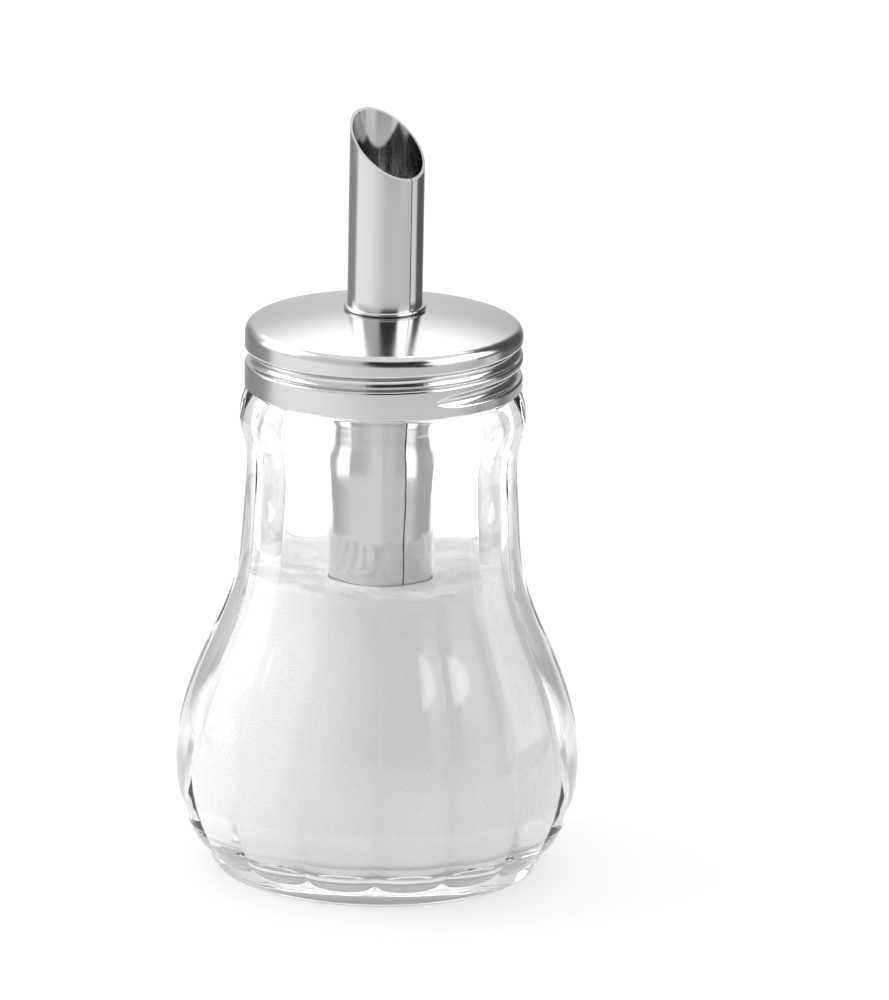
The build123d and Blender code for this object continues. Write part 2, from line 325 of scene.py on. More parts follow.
@dataclass(frozen=True)
class Steel:
    """Polished or brushed sheet steel: a metal whose roughness and fine relief follow its wear."""

    name: str
    colour: Colour = (0.66, 0.66, 0.665)
    roughness: float = 0.12
    roughness_spread: float = 0.05
    line_scale: float = 4000.0
    line_stretch: float = 0.05
    line_depth: float = 0.02
    mark_scale: float = 70.0

    def material(self, effects: Effects) -> bpy.types.Material:
        """The finish as a material.

        Args:
            effects: The shared node groups.

        Returns:
            The new material.
        """
        made, nodes, shader = blank_material(self.name)
        wear = nodes.add("Group", node_tree=effects.wear)
        wear.inputs["Line scale"].default_value = self.line_scale
        wear.inputs["Line stretch"].default_value = self.line_stretch
        wear.inputs["Mark scale"].default_value = self.mark_scale
        rough = nodes.add("MapRange")
        rough.inputs["To Min"].default_value = self.roughness - self.roughness_spread / 2
        rough.inputs["To Max"].default_value = self.roughness + self.roughness_spread / 2
        nodes.join(wear.outputs["Marks"], rough.inputs["Value"])
        bump = nodes.add("Bump", Strength=self.line_depth, Distance=HAIRLINE)
        nodes.join(wear.outputs["Lines"], bump.inputs["Height"])
        shader.inputs["Base Color"].default_value = (*self.colour, 1)
        shader.inputs["Metallic"].default_value = 1.0
        nodes.join(rough.outputs[0], shader.inputs["Roughness"])
        nodes.join(bump.outputs[0], shader.inputs["Normal"])
        return made


@dataclass(frozen=True)
class Glass:
    """Clear pressed glass, slightly wavy, that lets the lamps' light through to what it holds."""

    name: str = "clear_glass"
    colour: Colour = (0.985, 0.99, 0.988)
    ior: float = 1.5
    ripple_scale: float = 70.0
    ripple_fine_scale: float = 260.0
    ripple_height: float = 0.00005
    lamp_share: float = 0.93

    def material(self, effects: Effects) -> bpy.types.Material:
        """The finish as a material.

        Args:
            effects: The shared node groups.

        Returns:
            The new material.
        """
        made, nodes, shader = blank_material(self.name)
        ripple = nodes.add("Group", node_tree=effects.ripple)
        ripple.inputs["Scale"].default_value = self.ripple_scale
        ripple.inputs["Fine scale"].default_value = self.ripple_fine_scale
        bump = nodes.add("Bump", Strength=1.0, Distance=self.ripple_height)
        nodes.join(ripple.outputs["Height"], bump.inputs["Height"])
        shader.inputs["Base Color"].default_value = (*self.colour, 1)
        shader.inputs["Roughness"].default_value = 0.0
        shader.inputs["IOR"].default_value = self.ior
        shader.inputs["Transmission Weight"].default_value = 1.0
        nodes.join(bump.outputs[0], shader.inputs["Normal"])
        clear = nodes.add("BsdfTransparent", Color=(self.lamp_share,) * 3 + (1,))
        path = nodes.add("LightPath")
        mix = nodes.add("MixShader")
        nodes.join(path.outputs["Is Shadow Ray"], mix.inputs["Fac"])
        nodes.join(shader.outputs[0], mix.inputs[1])
        nodes.join(clear.outputs[0], mix.inputs[2])
        nodes.join(mix.outputs[0], nodes.tree.nodes["Material Output"].inputs["Surface"])
        return made


@dataclass(frozen=True)
class Sugar:
    """Fine white sugar: a soft white body with crystals in its relief, its colour and its shine."""

    name: str = "white_sugar"
    colour: Colour = (0.945, 0.945, 0.94)
    shade: Colour = (0.88, 0.88, 0.875)
    crystal_scale: float = 2200.0
    crystal_height: float = 0.00012
    relief_strength: float = 0.7
    roughness: Pair = (0.25, 0.8)
    ripple_scale: float = 120.0
    ripple_fine_scale: float = 500.0

    def material(self, effects: Effects) -> bpy.types.Material:
        """The finish as a material.

        Args:
            effects: The shared node groups.

        Returns:
            The new material.
        """
        made, nodes, shader = blank_material(self.name)
        place = nodes.add("TexCoord")
        crystals = nodes.add("TexVoronoi", Scale=self.crystal_scale)
        nodes.join(place.outputs["Object"], crystals.inputs["Vector"])
        ripple = nodes.add("Group", node_tree=effects.ripple)
        ripple.inputs["Scale"].default_value = self.ripple_scale
        ripple.inputs["Fine scale"].default_value = self.ripple_fine_scale
        tone = nodes.add("Mix", data_type="RGBA")
        nodes.join(crystals.outputs["Distance"], tone.inputs["Factor"])
        tone.inputs["A"].default_value = (*self.colour, 1)
        tone.inputs["B"].default_value = (*self.shade, 1)
        pits = nodes.maths("MULTIPLY", crystals.outputs["Distance"], -1.0)
        relief = nodes.maths("ADD", pits, ripple.outputs["Height"])
        bump = nodes.add("Bump", Strength=self.relief_strength, Distance=self.crystal_height)
        nodes.join(relief, bump.inputs["Height"])
        split = nodes.add("SeparateColor")
        nodes.join(crystals.outputs["Color"], split.inputs[0])
        shine = nodes.add("MapRange")
        shine.inputs["To Min"].default_value, shine.inputs["To Max"].default_value = self.roughness
        nodes.join(split.outputs[0], shine.inputs["Value"])
        nodes.join(tone.outputs["Result"], shader.inputs["Base Color"])
        nodes.join(shine.outputs[0], shader.inputs["Roughness"])
        nodes.join(bump.outputs[0], shader.inputs["Normal"])
        return made


@dataclass(frozen=True)
class Rubber:
    """Soft moulded seal rubber: dull, with fine mottling."""

    name: str = "seal_rubber"
    colour: Colour = (0.78, 0.78, 0.76)
    shade: Colour = (0.66, 0.66, 0.64)
    roughness: float = 0.6
    line_scale: float = 1500.0
    line_stretch: float = 1.0
    line_depth: float = 0.2
    mark_scale: float = 200.0

    def material(self, effects: Effects) -> bpy.types.Material:
        """The finish as a material.

        Args:
            effects: The shared node groups.

        Returns:
            The new material.
        """
        made, nodes, shader = blank_material(self.name)
        wear = nodes.add("Group", node_tree=effects.wear)
        wear.inputs["Line scale"].default_value = self.line_scale
        wear.inputs["Line stretch"].default_value = self.line_stretch
        wear.inputs["Mark scale"].default_value = self.mark_scale
        tone = nodes.add("Mix", data_type="RGBA")
        nodes.join(wear.outputs["Marks"], tone.inputs["Factor"])
        tone.inputs["A"].default_value = (*self.colour, 1)
        tone.inputs["B"].default_value = (*self.shade, 1)
        bump = nodes.add("Bump", Strength=self.line_depth, Distance=HAIRLINE)
        nodes.join(wear.outputs["Lines"], bump.inputs["Height"])
        nodes.join(tone.outputs["Result"], shader.inputs["Base Color"])
        shader.inputs["Roughness"].default_value = self.roughness
        nodes.join(bump.outputs[0], shader.inputs["Normal"])
        return made


def blank_material(name: str) -> tuple[bpy.types.Material, Nodes, bpy.types.Node]:
    """New node material with a Principled shader joined to its output.

    Args:
        name: Name of the material.

    Returns:
        The material, its nodes and its shader.
    """
    made = bpy.data.materials.new(name)
    made.use_nodes = True
    nodes = Nodes(made.node_tree)
    return made, nodes, made.node_tree.nodes["Principled BSDF"]


def dress(piece: bpy.types.Object, material: bpy.types.Material) -> None:
    """Puts one material on every slot of a piece."""
    if not piece.material_slots:
        piece.data.materials.append(material)
    for place in piece.material_slots:
        place.material = material


# Pieces


@dataclass
class Jar:
    """Lobed glass jar with its threaded neck, and the sugar in it. Sizes in millimetres, turns in degrees.

    The crest runs through pairs of radius and height, and a lobe's share is the radius of its arc over the crest's.
    """

    crest: list[Pair] = field(
        default_factory=lambda: [
            (33.2, 2.9), (35.42, 4.4), (37.3, 7.2), (40.8, 21.5), (35.8, 42.0), (29.7, 57.5),
            (27.55, 77.0), (27.75, 88.0), (28.8, 92.8), (28.2, 95.95), (27.1, 98.35),
        ]
    )
    crest_start: Pair = (0.9, 0.5)
    crest_end: Pair = (-0.5, 0.9)
    crest_samples: int = 600
    wall: float = 3.2
    wall_samples: int = 500
    wall_step: int = 8
    shoulder_wall: float = 3.9
    neck_taper: float = 2.0
    foot_radius: float = 32.8
    foot_top: Pair = (34.6, 4.4)
    foot_crown: Pair = (2.0, 3.8)
    foot_edge: float = 0.4
    foot_rows: int = 46
    foot_rows_top: float = 9.0
    side_rows: int = 104
    neck_rows: int = 48
    hollow_depth: float = 1.2
    hollow_radius: float = 27.0
    floor_height: float = 5.5
    floor_corner: float = 6.0
    lobe_count: int = 16
    lobe_shares: list[Pair] = field(default_factory=lambda: [(0.32, 2.0), (0.4, 7.2), (0.5, 21.5)])
    valley_rounding: float = 0.6
    lobe_turn: float = 3.5
    root_inset: float = 2.0
    foot_softness: float = 0.12
    ledge_height: float = 98.35
    ledge_edge: float = 0.5
    finish_radius: float = 25.2
    rim_radius: float = 22.4
    rim_height: float = 109.4
    rim_rounding: float = 0.9
    thread_pitch: float = 25.4 / 6
    thread_depth: float = 1.0
    thread_reach: float = 1.3 * 1.05
    thread_height: float = 108.456
    thread_start: float = -410.0
    thread_end: float = -15.0
    thread_fade: float = 35.0
    columns_per_lobe: int = 18
    sugar_level: float = 59.5
    sugar_bank: float = 2.9
    sugar_dip: float = 1.1
    sugar_dish: float = 0.3
    sugar_gap: float = 0.1
    sugar_press: float = 0.03
    sugar_columns: int = 224
    surface_rows: int = 46
    press_reach: float = 4.0
    bank_start: float = 2.0
    heap_fade: Pair = (3.0, 1.2)
    dip_fade: Pair = (4.0, 8.0)
    tube_radius: float = 7.5
    tube_wall: float = 0.5
    tube_end: float = 13.5
    tube_gap: float = 0.3
    tube_lip_gap: float = 0.06
    lip_rounding: Pair = (0.2, 0.3)
    lip_depth: Pair = (2.5, 3.5)
    core_rise: float = 0.5

    def angles(self) -> np.ndarray:
        """Angles of the columns, closer together in the valleys: the sine of an even run, in each lobe."""
        even = np.arange(self.columns_per_lobe) / self.columns_per_lobe * 2 - 1
        in_lobe = np.sin(even * math.pi / 2) * math.pi / self.lobe_count
        centre = np.arange(self.lobe_count) * TURN / self.lobe_count
        start = math.radians(self.lobe_turn) + math.pi / self.lobe_count
        return (start + centre[:, None] + in_lobe[None, :]).ravel()

    def lobed(self, height: np.ndarray, angle: np.ndarray) -> np.ndarray:
        """Radius of the outside: arcs across for the lobes, hollow arcs in the valleys, joined to the foot.

        A lobe's arc touches the crest's radius. It passes into the valley's arc where the two touch. The foot
        stands out where it is the wider one, and the two surfaces run softly into each other.

        Args:
            height: Height of each row.
            angle: Angle of each column.

        Returns:
            The radius, rows by columns.
        """
        line_up = spline(self.crest, self.crest_start, self.crest_end, self.crest_samples)
        root = self.foot_radius - self.root_inset
        crest = np.interp(height, line_up[:, 1], line_up[:, 0], left=root)[:, None]
        shares = np.array(self.lobe_shares)
        lobe = crest * np.interp(height, shares[:, 1], shares[:, 0])[:, None]
        half = math.pi / self.lobe_count
        offset = np.abs((angle - math.radians(self.lobe_turn) + half) % (2 * half) - half)[None, :]
        centre = crest - lobe
        reach = lobe + self.valley_rounding
        valley = centre * math.cos(half) + np.sqrt(reach**2 - (centre * math.sin(half)) ** 2)
        touch_x = centre * math.cos(half) + (valley - centre * math.cos(half)) * lobe / reach
        touch_y = centre * math.sin(half) * self.valley_rounding / reach
        from_crest = half - offset
        arch = centre * np.cos(from_crest) + np.sqrt(lobe**2 - (centre * np.sin(from_crest)) ** 2)
        dip = np.maximum(self.valley_rounding**2 - (valley * np.sin(offset)) ** 2, 0)
        bed = valley * np.cos(offset) - np.sqrt(dip)
        radius = np.where(offset < np.arctan2(touch_y, touch_x), bed, arch)
        up = np.clip((height - self.foot_top[1]) / self.foot_crown[1], 0, 1)
        foot = np.interp(height, (0, self.foot_top[1]), (self.foot_radius, self.foot_top[0]))
        foot = np.where(up < 1, foot - self.foot_crown[0] * (1 - np.sqrt(1 - up**2)), 0)
        return self.foot_softness * np.logaddexp(radius / self.foot_softness, foot[:, None] / self.foot_softness)

    def thread(self, height: np.ndarray, angle: np.ndarray) -> np.ndarray:
        """How far the thread stands out: a round bead along a helix, that fades in at both of its ends.

        Args:
            height: Height of each row.
            angle: Angle of each column.

        Returns:
            The rise in radius, rows by columns.
        """
        rise = np.zeros((len(height), len(angle)))
        for turn in range(-2, 1):
            along = np.degrees(angle) % 360 + 360 * turn
            middle = self.thread_height + self.thread_pitch * along / 360
            inside = np.minimum(along - self.thread_start, self.thread_end - along)
            full = smooth_step(inside / self.thread_fade)
            off = np.clip(np.abs(height[:, None] - middle[None, :]) / self.thread_reach, 0, 1)
            rise = np.maximum(rise, self.thread_depth * full * (0.5 + 0.5 * np.cos(math.pi * off)))
        return rise

    def inner_line(self, gap: float, top: float) -> np.ndarray:
        """Line of the hollow's wall from a height down to the middle of its floor, a gap clear of the glass.

        The wall is a smooth curve, and an arc that touches both the wall and the floor rounds the corner.

        Args:
            gap: Distance from the glass.
            top: Height where the line starts.

        Returns:
            Radius and height of each point.
        """
        floor = self.floor_height + gap
        heel = (self.crest[2][0] - self.wall - gap, floor)
        wall = [heel] + [(radius - self.wall - gap, height) for radius, height in self.crest[3:8]]
        wall.append((self.crest[8][0] - self.shoulder_wall - gap, self.crest[8][1]))
        neck = (self.rim_radius - gap, self.ledge_height + self.neck_taper)
        side = spline(wall + [neck], (1, 1), (0, 1), self.wall_samples)
        way = np.gradient(side, axis=0)
        way /= np.linalg.norm(way, axis=1)[:, None]
        offset = side + self.floor_corner * np.stack([-way[:, 1], way[:, 0]], axis=1)
        touch = int(np.argmax(offset[:, 1] >= floor + self.floor_corner))
        centre = (offset[touch][0], floor + self.floor_corner)
        turn = math.degrees(math.atan2(side[touch][1] - centre[1], side[touch][0] - centre[0]))
        corner = arc(centre, (self.floor_corner,) * 2, turn, -90, 16)
        upright = side[touch :: self.wall_step][::-1]
        upright = upright[upright[:, 1] < top]
        neck_line = line((neck[0], self.rim_height), neck, 8)
        return joined(neck_line[neck_line[:, 1] < top], upright, corner, line(corner[-1], (0, floor), 10))

    def build_glass(self) -> bpy.types.Object:
        """The jar as one skin: the hollow under the base, the lobed outside, the neck, the rim and the inside."""
        angle = self.angles()
        dome = (self.hollow_radius**2 + self.hollow_depth**2) / (2 * self.hollow_depth)
        reach = math.degrees(math.asin(self.hollow_radius / dome))
        edge = self.foot_edge
        under = joined(
            arc((0, self.hollow_depth - dome), (dome, dome), 90, 90 - reach, 10),
            line((self.hollow_radius, 0), (self.foot_radius - edge, 0), 4),
            arc((self.foot_radius - edge, edge), (edge, edge), -90, -10, 6),
        )
        top = self.ledge_height - self.ledge_edge
        foot_level = np.linspace(edge + 0.1, self.foot_rows_top, self.foot_rows)
        level = np.concatenate([foot_level, np.linspace(self.foot_rows_top, top, self.side_rows)[1:]])
        outside = self.lobed(level, angle)
        bend = np.radians(np.linspace(0, 90, 6))[1:, None]
        ledge_radius = outside[-1] - self.ledge_edge * (1 - np.cos(bend))
        ledge_level = np.repeat(top + self.ledge_edge * np.sin(bend), len(angle), axis=1)
        rounding = self.rim_rounding
        rim_foot = self.rim_height - rounding
        neck = line((self.finish_radius, self.ledge_height), (self.finish_radius, rim_foot), self.neck_rows)
        rim = joined(
            arc((self.finish_radius - rounding, rim_foot), (rounding,) * 2, 0, 90, 7),
            arc((self.rim_radius + rounding, rim_foot), (rounding,) * 2, 90, 180, 7),
            self.inner_line(0.0, rim_foot),
        )
        spread = np.ones(len(angle))
        neck_radius = neck[:, :1] * spread + self.thread(neck[:, 1], angle)
        radius = np.concatenate([under[:, :1] * spread, outside, ledge_radius, neck_radius, rim[:, :1] * spread])
        height = np.concatenate(
            [under[:, 1:] * spread, level[:, None] * spread, ledge_level, neck[:, 1:] * spread, rim[:, 1:] * spread]
        )
        return turned_mesh("lobed_jar", radius, height, angle)

    @staticmethod
    def heaps(x: np.ndarray, y: np.ndarray) -> np.ndarray:
        """Uneven top of the sugar: crossing waves of 0.4 mm, 0.2 mm and 0.1 mm, each finer than the one before.

        Args:
            x: Places across in millimetres.
            y: Places along in millimetres.

        Returns:
            The rise of each place in millimetres, which may be below 0.
        """
        return (
            0.4 * np.sin(0.31 * x + 0.8) * np.cos(0.27 * y - 0.4)
            + 0.2 * np.sin(0.83 * x - 0.5 * y + 1.1)
            + 0.1 * np.sin(1.7 * y + 0.9 * x)
        )

    @staticmethod
    def scallops(angle: np.ndarray) -> np.ndarray:
        """Share from 0 to 1 of the dip along the glass: a wave 5 times round, and a wandering one 17 times round."""
        return 0.5 - 0.28 * np.sin(5 * angle + 1.0) - 0.22 * np.sin(17 * angle + 0.7 * np.sin(3 * angle))

    def build_sugar(self) -> bpy.types.Object:
        """The sugar as one skin: it follows the hollow, banks up unevenly against it, and leaves room for the tube."""
        top = self.sugar_level + self.sugar_bank
        side = self.inner_line(self.sugar_gap, top)[::-1].copy()
        above = smooth_step((side[:, 1] - self.floor_height) / self.press_reach)
        side[:, 1] -= (self.sugar_gap + self.sugar_press) * (1 - above)
        slot_out, slot_in = self.tube_radius + self.tube_gap, self.tube_radius - self.tube_wall - self.tube_gap
        lip = self.tube_radius + self.tube_lip_gap
        level = self.sugar_level - self.sugar_dish
        slot_floor = self.tube_end - self.tube_gap
        inset, drop = self.lip_rounding
        lip_end, slot_start = self.lip_depth
        surface = line(side[-1], (lip + inset, level), self.surface_rows)
        slot = joined(
            line((lip, level - drop), (lip, level - lip_end), 5),
            line((slot_out, level - slot_start), (slot_out, slot_floor), 6),
            line((slot_in, slot_floor), (slot_in, level - drop), 6),
            line((slot_in - drop, level), (0, level + self.core_rise), 8),
        )
        profile = joined(side, surface, slot)
        angle = np.arange(self.sugar_columns) / self.sugar_columns * TURN
        radius = np.repeat(profile[:, :1], len(angle), axis=1)
        height = np.repeat(profile[:, 1:], len(angle), axis=1)
        first, last = len(side), len(joined(side, surface))
        reach = radius[first:last]
        x, y = reach * np.cos(angle), reach * np.sin(angle)
        edge, bank = side[-1][0], self.bank_start
        outward = smooth_step((reach - lip - bank) / (edge - lip - bank))
        share = smooth_step((reach - lip) / self.heap_fade[0]) * smooth_step((edge - reach) / self.heap_fade[1])
        height[first:last] = level + (top - level) * outward + self.heaps(x, y) * share
        tall, wide = self.dip_fade
        wall_share = smooth_step((height[:last] - top + tall) / tall) * smooth_step((radius[:last] - lip) / wide)
        height[:last] -= self.sugar_dip * self.scallops(angle) * wall_share
        return turned_mesh("sugar_heap", radius, height, angle)

    def build(self, effects: Effects) -> list[bpy.types.Object]:
        """Builds and dresses the jar and its sugar.

        Args:
            effects: The shared node groups.

        Returns:
            The pieces.
        """
        glass = self.build_glass()
        dress(glass, Glass().material(effects))
        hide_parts("glass_jar")
        sugar = self.build_sugar()
        dress(sugar, Sugar().material(effects))
        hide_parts("sugar_fill")
        for piece in (glass, sugar):
            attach(piece, Body.JAR.value)
        return [glass, sugar]


@dataclass
class Cap:
    """Screw cap with its tube, ring, seat, pin, flap and seal, which keep their own shapes."""

    polished: Steel = Steel("polished_cap_steel", roughness=0.16, line_stretch=3.0)
    drawn: Steel = Steel("drawn_tube_steel", roughness=0.12, line_scale=5000.0, line_stretch=0.03)
    spring: Steel = Steel("spring_sheet_steel", colour=(0.6, 0.6, 0.61), roughness=0.3, line_depth=0.06)
    rubber: Rubber = Rubber()

    def build(self, effects: Effects) -> list[bpy.types.Object]:
        """Dresses the cap's pieces.

        Args:
            effects: The shared node groups.

        Returns:
            The pieces.
        """
        finishes = {
            "screw_cap": self.polished.material(effects),
            "dosing_tube": self.drawn.material(effects),
            "cap_seal": self.rubber.material(effects),
        }
        spring = self.spring.material(effects)
        finishes |= {name: spring for name in ("tube_retainer", "flap_seat", "hinge_pin", "flap")}
        for name, material in finishes.items():
            dress(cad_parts[name], material)
        return [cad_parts[name] for name in finishes]


# Floor, light and camera


@dataclass(frozen=True)
class Box:
    """Brighter patch of a panel, from one azimuth to another in degrees and from one height to another in metres."""

    left: float
    right: float
    bottom: float
    top: float
    glow: float


@dataclass(frozen=True)
class Tones:
    """Tones of a panel: a height and its stops of azimuth and tone for each band, and boxes added on top.

    Heights are metres. Azimuths are degrees from the camera's side, positive to the right. Tone 1 is white. The
    edges are how far a box fades, in degrees to its sides and in metres up and down.
    """

    bands: tuple[tuple[float, Stops], ...]
    boxes: tuple[Box, ...] = ()
    side_edge: float = 4.0
    level_edge: float = 0.006

    def at(self, azimuth: np.ndarray, level: np.ndarray) -> np.ndarray:
        """Tone of each point: the stops run straight along the azimuth, and smoothly from band to band.

        Args:
            azimuth: Azimuth of each column.
            level: Height of each row.

        Returns:
            The tones, rows by columns.
        """
        stops = np.stack([np.interp(azimuth, *np.array(band).T) for _, band in self.bands])
        place = np.interp(level, [height for height, _ in self.bands], np.arange(len(self.bands)))
        below = np.minimum(place.astype(int), len(self.bands) - 2)
        share = smooth_step(place - below)[:, None]
        tone = stops[below] * (1 - share) + stops[below + 1] * share
        for box in self.boxes:
            wide = smooth_step(np.minimum(azimuth - box.left, box.right - azimuth) / self.side_edge + 0.5)[None, :]
            tall = smooth_step(np.minimum(level - box.bottom, box.top - level) / self.level_edge + 0.5)[:, None]
            tone = tone + box.glow * wide * tall
        return tone


# What the outside of the upright tube mirrors, the same from its bead to its mouth
TUBE_STOPS: Stops = (
    (-180, 0.6), (-160, 0.45), (-142, 0.3), (-108, 0.36), (-97, 1.15), (-44, 1.08), (-18, 0.84), (5, 0.76),
    (60, 0.7), (86, 0.66), (91, 0.92), (103, 0.88), (110, 0.14), (150, 0.12), (163, 0.5), (180, 0.6),
)


@dataclass
class Ring:
    """Two toned panels that stand round the set: a full ring that is mirrored, and sides that show through glass.

    The camera sees neither, and neither lights a dull surface. Sizes in metres, turns in degrees. The sides leave a
    gap behind the set.
    """

    radius: float = 0.32
    bottom: float = 0.002
    height: float = 0.5
    rows: int = 126
    mirrored: Tones = Tones(
        bands=(
            (0.012, (
                (-180, 0.6), (-155, 0.4), (-150, 0.32), (-115, 0.38), (-98, 0.9), (-74, 1.1), (-20, 0.95), (0, 0.82),
                (60, 0.85), (74, 0.5), (85, 0.22), (115, 0.22), (128, 0.6), (180, 0.7),
            )),
            (0.028, TUBE_STOPS),
            (0.064, TUBE_STOPS),
            (0.09, (
                (-180, 0.7), (-162, 0.6), (-150, 0.3), (-122, 0.3), (-112, 0.9), (-74, 0.85), (-16, 0.75), (-7, 0.1),
                (36, 0.1), (46, 0.9), (74, 0.9), (84, 0.12), (150, 0.12), (163, 0.55), (180, 0.7),
            )),
            (0.12, (
                (-180, 0.7), (-162, 0.6), (-150, 0.3), (-122, 0.3), (-112, 0.9), (-74, 0.85), (-16, 0.75), (-7, 0.06),
                (36, 0.06), (46, 1.1), (74, 1.1), (84, 0.12), (150, 0.12), (163, 0.55), (180, 0.7),
            )),
            (0.2, (
                (-180, 0.78), (-162, 0.65), (-150, 0.4), (-122, 0.6), (-112, 2.2), (-78, 2.2), (-72, 0.8), (-20, 0.7),
                (-13, 0.03), (38, 0.03), (44, 2.4), (96, 2.4), (104, 0.06), (150, 0.12), (163, 0.6), (180, 0.78),
            )),
            (0.36, (
                (-180, 1.7), (-165, 1.55), (-150, 2.0), (-80, 2.6), (-72, 0.8), (-20, 0.75), (-13, 0.03), (40, 0.03),
                (46, 2.6), (98, 2.6), (106, 0.06), (150, 0.12), (165, 1.55), (180, 1.7),
            )),
        ),
        boxes=(Box(-112, -88, 0.12, 0.5, 1.2), Box(34, 88, 0.178, 0.2, 3.6)),
    )
    through: Tones = Tones(
        bands=(
            (0.002, (
                (-158, 0.75), (-149, 0.48), (-118, 0.48), (-95, 0.9), (-40, 0.92), (-10, 0.84), (60, 0.76), (90, 0.68),
                (118, 0.45), (149, 0.45), (158, 0.75),
            )),
            (0.01, (
                (-158, 0.8), (-147, 0.55), (-118, 0.52), (-70, 0.6), (-55, 0.9), (-5, 0.8), (60, 0.7), (74, 0.5),
                (118, 0.45), (147, 0.5), (158, 0.8),
            )),
            (0.1, (
                (-148, 0.8), (-125, 0.5), (-100, 0.6), (-70, 0.85), (-5, 0.75), (40, 0.6), (74, 0.6), (95, 0.5),
                (125, 0.45), (148, 0.8),
            )),
        ),
        boxes=(Box(-134, -104, 0.004, 0.5, 1.4), Box(82, 110, 0.004, 0.5, 1.4)),
    )
    side_reach: float = 158.0
    apron: float = 0.11
    apron_rows: int = 16
    apron_fade: float = 0.06
    end_fade: float = 10.0
    fade_height: float = 0.01

    def panel(self, name: str, camera_azimuth: float, reach: float, tones: Tones, inner: float) -> bpy.types.Object:
        """Part of the ring, with its tones as an attribute, hidden from all rays.

        Args:
            name: Name of the new object.
            camera_azimuth: Azimuth of the camera in degrees.
            reach: Degrees that it runs to each side of the camera.
            tones: Its tones.
            inner: Radius at which its flat apron on the floor starts; the ring's own radius leaves it out.

        Returns:
            The new object.
        """
        azimuth = np.linspace(-reach, reach, int(2 * reach) + 1)
        flat = np.linspace(inner, self.radius, self.apron_rows)[:-1] if inner < self.radius else np.zeros(0)
        level = np.concatenate([self.bottom + 0 * flat, np.linspace(self.bottom, self.height, self.rows)])
        radius = np.concatenate([flat, np.full(self.rows, self.radius)])[:, None]
        turned = np.radians(camera_azimuth + azimuth)[None, :]
        points = np.stack([radius * np.sin(turned), -radius * np.cos(turned), level[:, None] + 0 * turned], axis=2)
        tone = tones.at(azimuth, level)
        if inner < self.radius:
            to_end = smooth_step((reach - np.abs(azimuth)) / self.end_fade)[None, :]
            share = smooth_step((radius - inner) / self.apron_fade) * to_end
            tone = 1 + (tone - 1) * np.where(level[:, None] > self.fade_height, 1, share)
        place = np.arange(tone.size).reshape(tone.shape)
        quads = np.stack([place[:-1, :-1], place[:-1, 1:], place[1:, 1:], place[1:, :-1]], axis=2)
        mesh = bpy.data.meshes.new(name)
        mesh.from_pydata(points.reshape(-1, 3).tolist(), [], quads.reshape(-1, 4).tolist())
        mesh.attributes.new("tone", "FLOAT", "POINT").data.foreach_set("value", tone.ravel().astype(np.float32))
        made = placed(name, mesh)
        made.visible_camera = made.visible_diffuse = made.visible_glossy = made.visible_transmission = False
        made.visible_shadow = made.visible_volume_scatter = False
        return made

    def build(self, camera_azimuth: float) -> None:
        """Builds the ring for mirrored rays, and the part of it that shows through glass.

        Args:
            camera_azimuth: Azimuth of the camera in degrees.
        """
        material = bpy.data.materials.new("mirror_tones")
        material.use_nodes = True
        tree = material.node_tree
        tree.nodes.remove(tree.nodes["Principled BSDF"])
        nodes = Nodes(tree)
        tones = nodes.add("Attribute", attribute_name="tone")
        glow = nodes.add("Emission")
        nodes.join(tones.outputs["Fac"], glow.inputs["Strength"])
        nodes.join(glow.outputs[0], tree.nodes["Material Output"].inputs["Surface"])
        whole = self.panel("mirror_ring", camera_azimuth, 180.0, self.mirrored, self.radius)
        whole.visible_glossy = True
        sides = self.panel("side_panels", camera_azimuth, self.side_reach, self.through, self.apron)
        sides.visible_transmission = True
        for made in (whole, sides):
            dress(made, material)


def towards(azimuth: float, elevation: float) -> Vector:
    """Direction from the jar, of length 1.

    Args:
        azimuth: Degrees round the upright axis, from the side that faces -Y.
        elevation: Degrees above the floor.

    Returns:
        The direction.
    """
    a, e = math.radians(azimuth), math.radians(elevation)
    return Vector((math.sin(a) * math.cos(e), -math.cos(a) * math.cos(e), math.sin(e)))


@dataclass(frozen=True)
class Lamp:
    """Large soft lamp that faces the jar.

    Its azimuth is degrees to the left of the camera's side and its elevation degrees above the floor. Distance, size
    and the height that it aims at are metres. Radiance is how bright its face is, where 1 is white.
    """

    name: str
    azimuth: float
    elevation: float
    distance: float
    size: Pair
    radiance: float
    mirrored: bool = True
    aim_height: float = 0.08

    def build(self, camera_azimuth: float) -> None:
        """Builds the lamp.

        Args:
            camera_azimuth: Azimuth of the camera in degrees.
        """
        way = towards(camera_azimuth - self.azimuth, self.elevation)
        data = bpy.data.lights.new(self.name, "AREA")
        data.shape = "RECTANGLE"
        data.size, data.size_y = self.size
        data.energy = self.radiance * math.pi * self.size[0] * self.size[1]
        made = placed(self.name, data)
        place = Matrix.Translation(Vector((0, 0, self.aim_height)) + way * self.distance)
        made.matrix_world = place @ way.to_track_quat("Z", "Y").to_matrix().to_4x4()
        made.visible_glossy = self.mirrored


